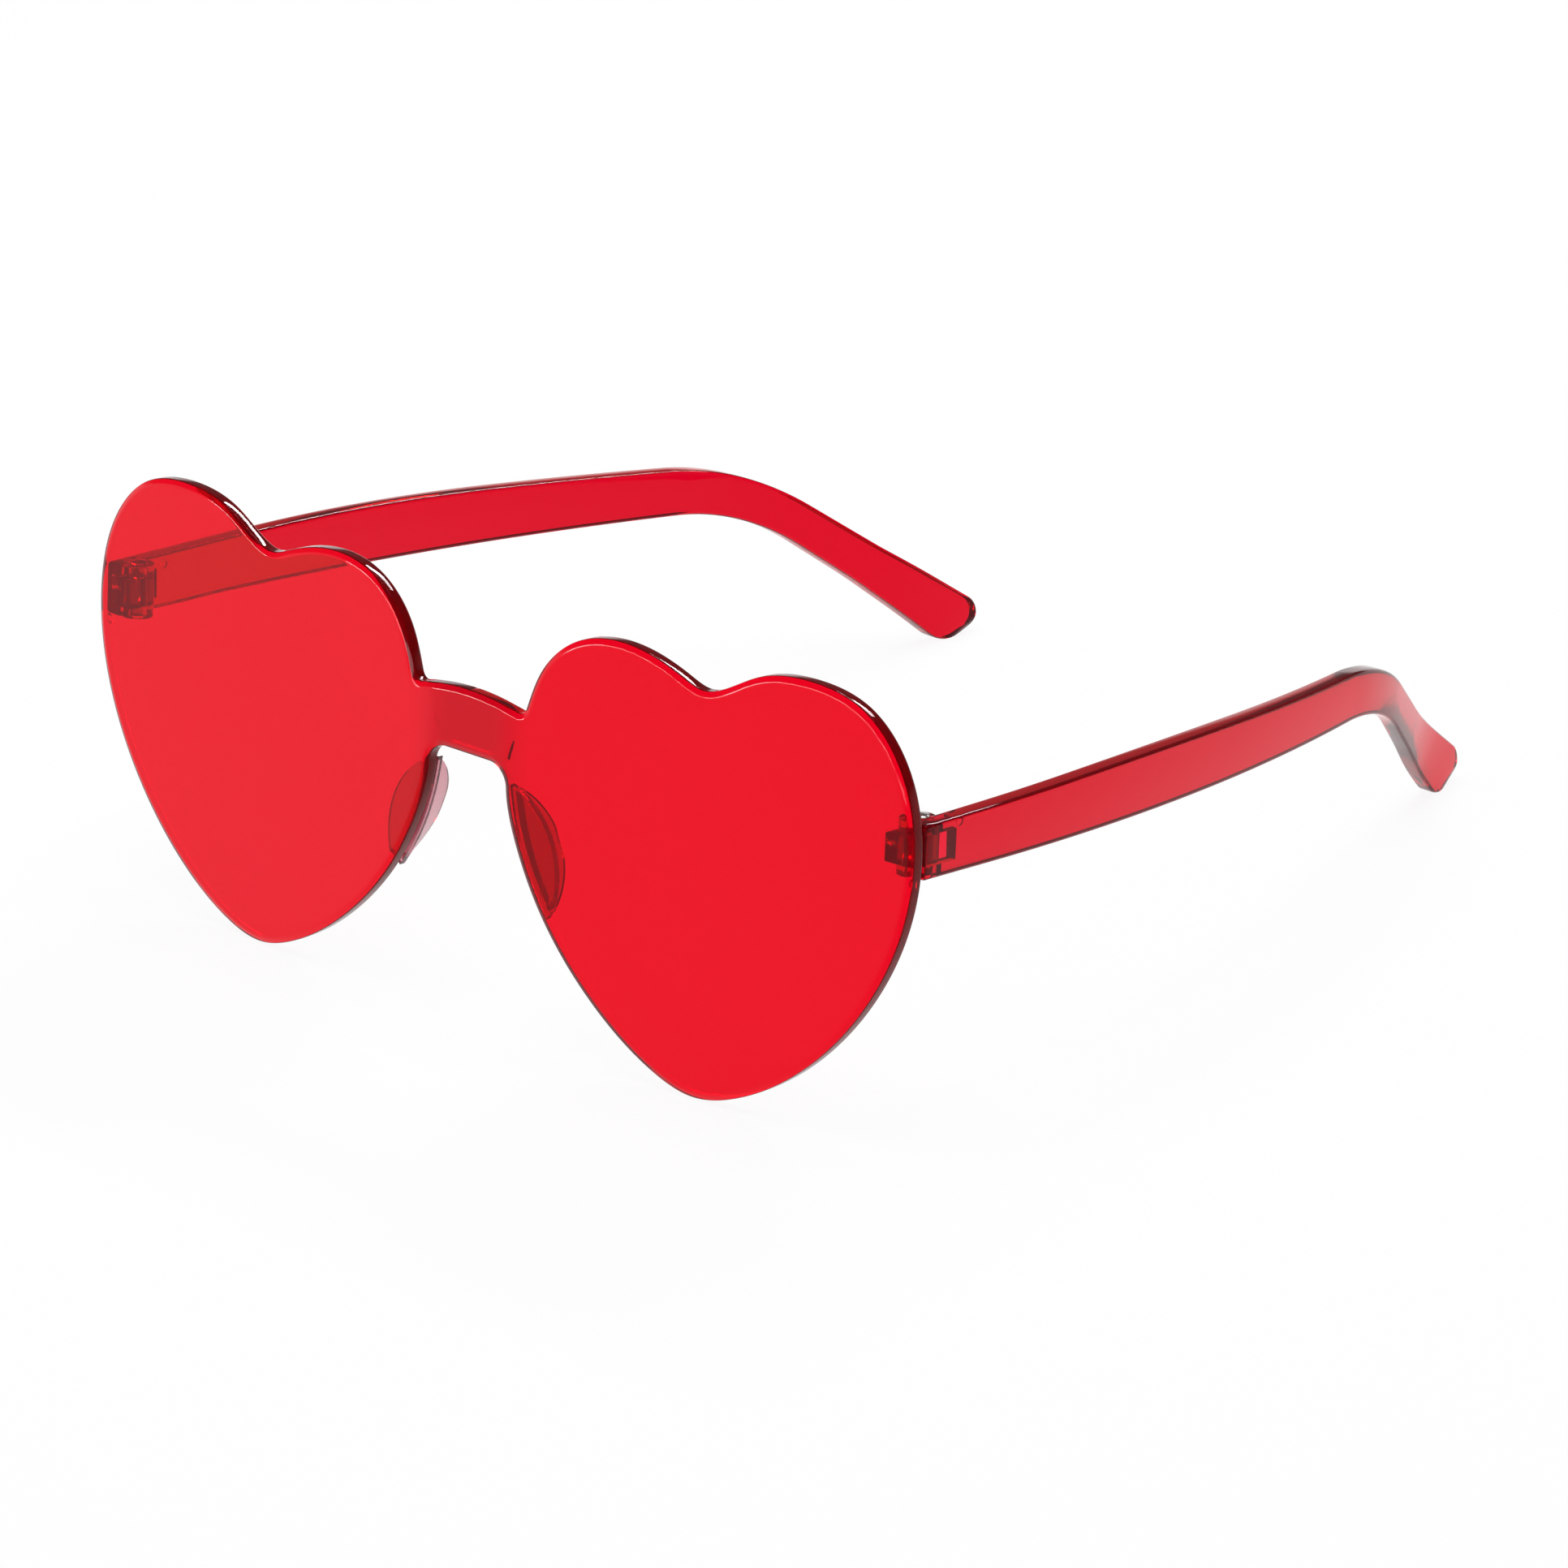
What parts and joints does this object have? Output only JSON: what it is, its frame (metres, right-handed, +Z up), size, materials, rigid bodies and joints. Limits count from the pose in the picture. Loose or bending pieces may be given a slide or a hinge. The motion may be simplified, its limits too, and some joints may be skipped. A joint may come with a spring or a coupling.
{
  "type": "heart shaped sunglasses",
  "caption": "Rimless sunglasses with a one-piece tinted front of heart shaped lenses and curved tinted temples that fold inward on screwed hinges.",
  "frame": {"origin": "on the table, under the middle of the glasses standing open on the heart points and temple tips", "axes": "+X to the right of someone facing the front, +Y back along the open temples, +Z up"},
  "size_m": [0.1466, 0.1408, 0.0575],
  "materials": {
    "front_tint": "polished clear red moulding",
    "pad_tint": "polished clear red moulding",
    "hinge_tint": "polished clear red moulding",
    "temple_tint": "polished clear red moulding",
    "screw_steel": "plated, slotted head"
  },
  "bodies": {
    "front": {"front_shield": "front_tint", "nose_pad_right": "pad_tint", "nose_pad_left": "pad_tint", "hinge_lug_right": "hinge_tint", "hinge_lug_left": "hinge_tint"},
    "temple_right": {"temple_right": "temple_tint", "hinge_screw_right": "screw_steel"},
    "temple_left": {"temple_left": "temple_tint", "hinge_screw_left": "screw_steel"}
  },
  "joints": [
    {"name": "temple_right_fold", "type": "hinge", "parent": "front", "child": "temple_right", "pos_m": [0.06987, -0.05902, 0.03863], "axis": [0, 0.1112, 0.9938], "range_deg": [0, 77]},
    {"name": "temple_left_fold", "type": "hinge", "parent": "front", "child": "temple_left", "pos_m": [-0.06987, -0.05902, 0.03863], "axis": [0, -0.1112, -0.9938], "range_deg": [0, 70]}
  ]
}
